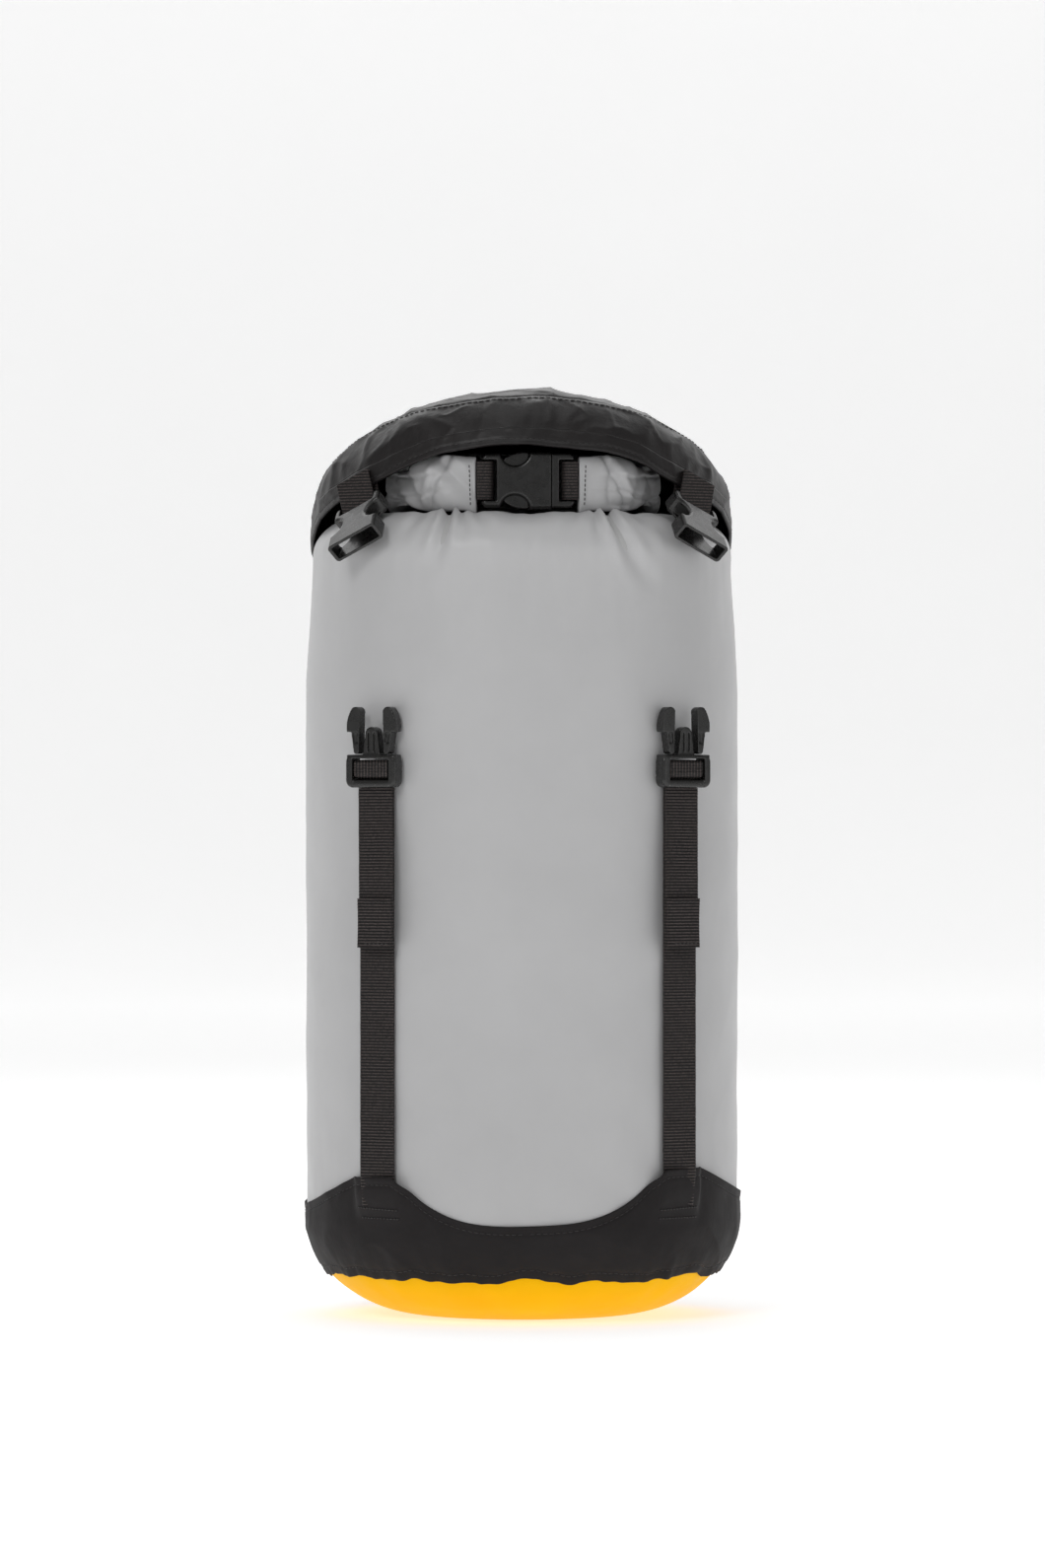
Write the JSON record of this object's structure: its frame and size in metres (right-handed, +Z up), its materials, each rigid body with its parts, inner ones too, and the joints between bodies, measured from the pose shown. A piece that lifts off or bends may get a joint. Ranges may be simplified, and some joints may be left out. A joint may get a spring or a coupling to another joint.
{
  "type": "compression sack",
  "caption": "Stuffed roll-top compression sack with a domed lid tilted open, a coated base and four webbing straps with side-release buckles.",
  "frame": {"origin": "centre of the base, on the surface that the sack stands on", "axes": "+Z up along the tube to the lid, -Y out of the front, where the roll's buckle is, +X to the right seen from the front"},
  "size_m": [0.1826, 0.1874, 0.3838],
  "materials": {
    "body_nylon": "satin grey coated nylon",
    "lid_nylon": "satin black nylon",
    "base_coated": "glossy yellow coated fabric",
    "webbing": "matte black ribbed webbing",
    "buckle_plastic": "satin moulded black",
    "stiffener": "plain strip, hidden",
    "filling": "packed clothes, hidden"
  },
  "bodies": {
    "sack": {"sack_tube": "body_nylon", "base_panel": "base_coated", "filling": "filling", "base_band": "lid_nylon", "rolled_mouth": "body_nylon", "roll_stiffener": "stiffener", "roll_arm_left": "body_nylon", "roll_arm_right": "body_nylon", "rear_left_strap": "webbing", "rear_right_strap": "webbing", "rear_left_female_half": "buckle_plastic", "rear_right_female_half": "buckle_plastic", "rear_left_lid_loop": "webbing", "rear_right_lid_loop": "webbing"},
    "lid": {"lid_crown": "lid_nylon", "lid_side_band": "lid_nylon", "lid_hem": "lid_nylon", "lid_back_panel": "lid_nylon", "front_left_lid_loop": "webbing", "front_right_lid_loop": "webbing"},
    "front_left_female": {"front_left_female_half": "buckle_plastic"},
    "front_left_strap": {"front_left_strap": "webbing"},
    "front_left_buckle": {"front_left_male_half": "buckle_plastic", "front_left_strap_wrap": "webbing", "front_left_strap_tail": "webbing"},
    "front_left_tail_end": {"front_left_tail_end": "webbing"},
    "front_left_prong_a": {"front_left_prong_a": "buckle_plastic"},
    "front_left_prong_b": {"front_left_prong_b": "buckle_plastic"},
    "rear_left_buckle": {"rear_left_male_half": "buckle_plastic", "rear_left_strap_wrap": "webbing", "rear_left_strap_tail": "webbing", "rear_left_tail_end": "webbing"},
    "rear_left_prong_a": {"rear_left_prong_a": "buckle_plastic"},
    "rear_left_prong_b": {"rear_left_prong_b": "buckle_plastic"},
    "front_right_female": {"front_right_female_half": "buckle_plastic"},
    "front_right_strap": {"front_right_strap": "webbing"},
    "front_right_buckle": {"front_right_male_half": "buckle_plastic", "front_right_strap_wrap": "webbing", "front_right_strap_tail": "webbing"},
    "front_right_tail_end": {"front_right_tail_end": "webbing"},
    "front_right_prong_a": {"front_right_prong_a": "buckle_plastic"},
    "front_right_prong_b": {"front_right_prong_b": "buckle_plastic"},
    "rear_right_buckle": {"rear_right_male_half": "buckle_plastic", "rear_right_strap_wrap": "webbing", "rear_right_strap_tail": "webbing", "rear_right_tail_end": "webbing"},
    "rear_right_prong_a": {"rear_right_prong_a": "buckle_plastic"},
    "rear_right_prong_b": {"rear_right_prong_b": "buckle_plastic"},
    "roll_male": {"roll_male_half": "buckle_plastic", "roll_loop_right": "webbing", "roll_tab_right": "body_nylon"},
    "roll_female": {"roll_female_half": "buckle_plastic", "roll_loop_left": "webbing", "roll_tab_left": "body_nylon"},
    "roll_prong_a": {"roll_prong_a": "buckle_plastic"},
    "roll_prong_b": {"roll_prong_b": "buckle_plastic"}
  },
  "joints": [
    {"name": "lid_tilt", "type": "hinge", "parent": "sack", "child": "lid", "pos_m": [0, 0.09126, 0.28651], "axis": [-1, 0, 0], "range_deg": [0, 85]},
    {"name": "front_left_female_swing", "type": "hinge", "parent": "lid", "child": "front_left_female", "pos_m": [-0.06765, -0.04806, 0.3343], "axis": [-0.7983, 0.4104, -0.4408], "range_deg": [0, 70]},
    {"name": "front_left_strap_swing", "type": "hinge", "parent": "sack", "child": "front_left_strap", "pos_m": [-0.06147, -0.06947, 0.0623], "axis": [0.866, -0.5, 0], "range_deg": [0, 100]},
    {"name": "front_left_buckle_slide", "type": "slide", "parent": "front_left_strap", "child": "front_left_buckle", "axis": [0, 0, 1], "range_m": [-0.05, 0.02], "deforming": ["front_left_strap", "front_left_strap_tail"]},
    {"name": "front_left_tail_slip", "type": "slide", "parent": "front_left_buckle", "child": "front_left_tail_end", "axis": [0, 0, 1], "range_m": [-0.05, 0.02], "deforming": ["front_left_strap_tail"]},
    {"name": "front_left_prong_a_squeeze", "type": "hinge", "parent": "front_left_buckle", "child": "front_left_prong_a", "pos_m": [-0.06923, -0.06892, 0.2345], "axis": [0.5, 0.866, 0], "range_deg": [0, 8], "stiffness_Nm_per_rad": 0.05},
    {"name": "front_left_prong_b_squeeze", "type": "hinge", "parent": "front_left_buckle", "child": "front_left_prong_b", "pos_m": [-0.05711, -0.07592, 0.2345], "axis": [-0.5, -0.866, 0], "range_deg": [0, 8], "stiffness_Nm_per_rad": 0.05},
    {"name": "rear_left_release", "type": "slide", "parent": "sack", "child": "rear_left_buckle", "axis": [0, 0, -1], "range_m": [0, 0.022], "deforming": ["rear_left_strap", "rear_left_prong_a", "rear_left_prong_b"]},
    {"name": "rear_left_prong_a_squeeze", "type": "hinge", "parent": "rear_left_buckle", "child": "rear_left_prong_a", "pos_m": [-0.05711, 0.07592, 0.2635], "axis": [0.5, -0.866, 0], "range_deg": [0, 8], "stiffness_Nm_per_rad": 0.05},
    {"name": "rear_left_prong_b_squeeze", "type": "hinge", "parent": "rear_left_buckle", "child": "rear_left_prong_b", "pos_m": [-0.06923, 0.06892, 0.2635], "axis": [-0.5, 0.866, 0], "range_deg": [0, 8], "stiffness_Nm_per_rad": 0.05},
    {"name": "front_right_female_swing", "type": "hinge", "parent": "lid", "child": "front_right_female", "pos_m": [0.06765, -0.04806, 0.3343], "axis": [-0.7983, -0.4104, 0.4408], "range_deg": [0, 70]},
    {"name": "front_right_strap_swing", "type": "hinge", "parent": "sack", "child": "front_right_strap", "pos_m": [0.06147, -0.06947, 0.0623], "axis": [0.866, 0.5, 0], "range_deg": [0, 100]},
    {"name": "front_right_buckle_slide", "type": "slide", "parent": "front_right_strap", "child": "front_right_buckle", "axis": [0, 0, 1], "range_m": [-0.05, 0.02], "deforming": ["front_right_strap", "front_right_strap_tail"]},
    {"name": "front_right_tail_slip", "type": "slide", "parent": "front_right_buckle", "child": "front_right_tail_end", "axis": [0, 0, 1], "range_m": [-0.05, 0.02], "deforming": ["front_right_strap_tail"]},
    {"name": "front_right_prong_a_squeeze", "type": "hinge", "parent": "front_right_buckle", "child": "front_right_prong_a", "pos_m": [0.05711, -0.07592, 0.2345], "axis": [-0.5, 0.866, 0], "range_deg": [0, 8], "stiffness_Nm_per_rad": 0.05},
    {"name": "front_right_prong_b_squeeze", "type": "hinge", "parent": "front_right_buckle", "child": "front_right_prong_b", "pos_m": [0.06923, -0.06892, 0.2345], "axis": [0.5, -0.866, 0], "range_deg": [0, 8], "stiffness_Nm_per_rad": 0.05},
    {"name": "rear_right_release", "type": "slide", "parent": "sack", "child": "rear_right_buckle", "axis": [0, 0, -1], "range_m": [0, 0.022], "deforming": ["rear_right_strap", "rear_right_prong_a", "rear_right_prong_b"]},
    {"name": "rear_right_prong_a_squeeze", "type": "hinge", "parent": "rear_right_buckle", "child": "rear_right_prong_a", "pos_m": [0.06923, 0.06892, 0.2635], "axis": [-0.5, -0.866, 0], "range_deg": [0, 8], "stiffness_Nm_per_rad": 0.05},
    {"name": "rear_right_prong_b_squeeze", "type": "hinge", "parent": "rear_right_buckle", "child": "rear_right_prong_b", "pos_m": [0.05711, 0.07592, 0.2635], "axis": [0.5, 0.866, 0], "range_deg": [0, 8], "stiffness_Nm_per_rad": 0.05},
    {"name": "roll_release", "type": "slide", "parent": "sack", "child": "roll_male", "axis": [1, 0, 0], "range_m": [0, 0.0105], "deforming": ["roll_arm_right", "roll_arm_left", "roll_prong_a", "roll_prong_b"]},
    {"name": "roll_female_release", "type": "slide", "parent": "sack", "child": "roll_female", "axis": [-1, 0, 0], "range_m": [0, 0.0105], "deforming": ["roll_arm_right", "roll_arm_left", "roll_prong_a", "roll_prong_b"]},
    {"name": "roll_prong_a_squeeze", "type": "hinge", "parent": "roll_male", "child": "roll_prong_a", "pos_m": [0.0082, -0.055, 0.33855], "axis": [0, 1, 0], "range_deg": [0, 8], "stiffness_Nm_per_rad": 0.05},
    {"name": "roll_prong_b_squeeze", "type": "hinge", "parent": "roll_male", "child": "roll_prong_b", "pos_m": [0.0082, -0.055, 0.35255], "axis": [0, -1, 0], "range_deg": [0, 8], "stiffness_Nm_per_rad": 0.05}
  ],
  "couplings": [
    {"joint": "front_left_tail_slip", "follows": "front_left_buckle_slide", "ratio": 1},
    {"joint": "front_left_prong_b_squeeze", "follows": "front_left_prong_a_squeeze", "ratio": 1},
    {"joint": "rear_left_prong_b_squeeze", "follows": "rear_left_prong_a_squeeze", "ratio": 1},
    {"joint": "front_right_tail_slip", "follows": "front_right_buckle_slide", "ratio": 1},
    {"joint": "front_right_prong_b_squeeze", "follows": "front_right_prong_a_squeeze", "ratio": 1},
    {"joint": "rear_right_prong_b_squeeze", "follows": "rear_right_prong_a_squeeze", "ratio": 1},
    {"joint": "roll_female_release", "follows": "roll_release", "ratio": 1},
    {"joint": "roll_prong_b_squeeze", "follows": "roll_prong_a_squeeze", "ratio": 1}
  ]
}
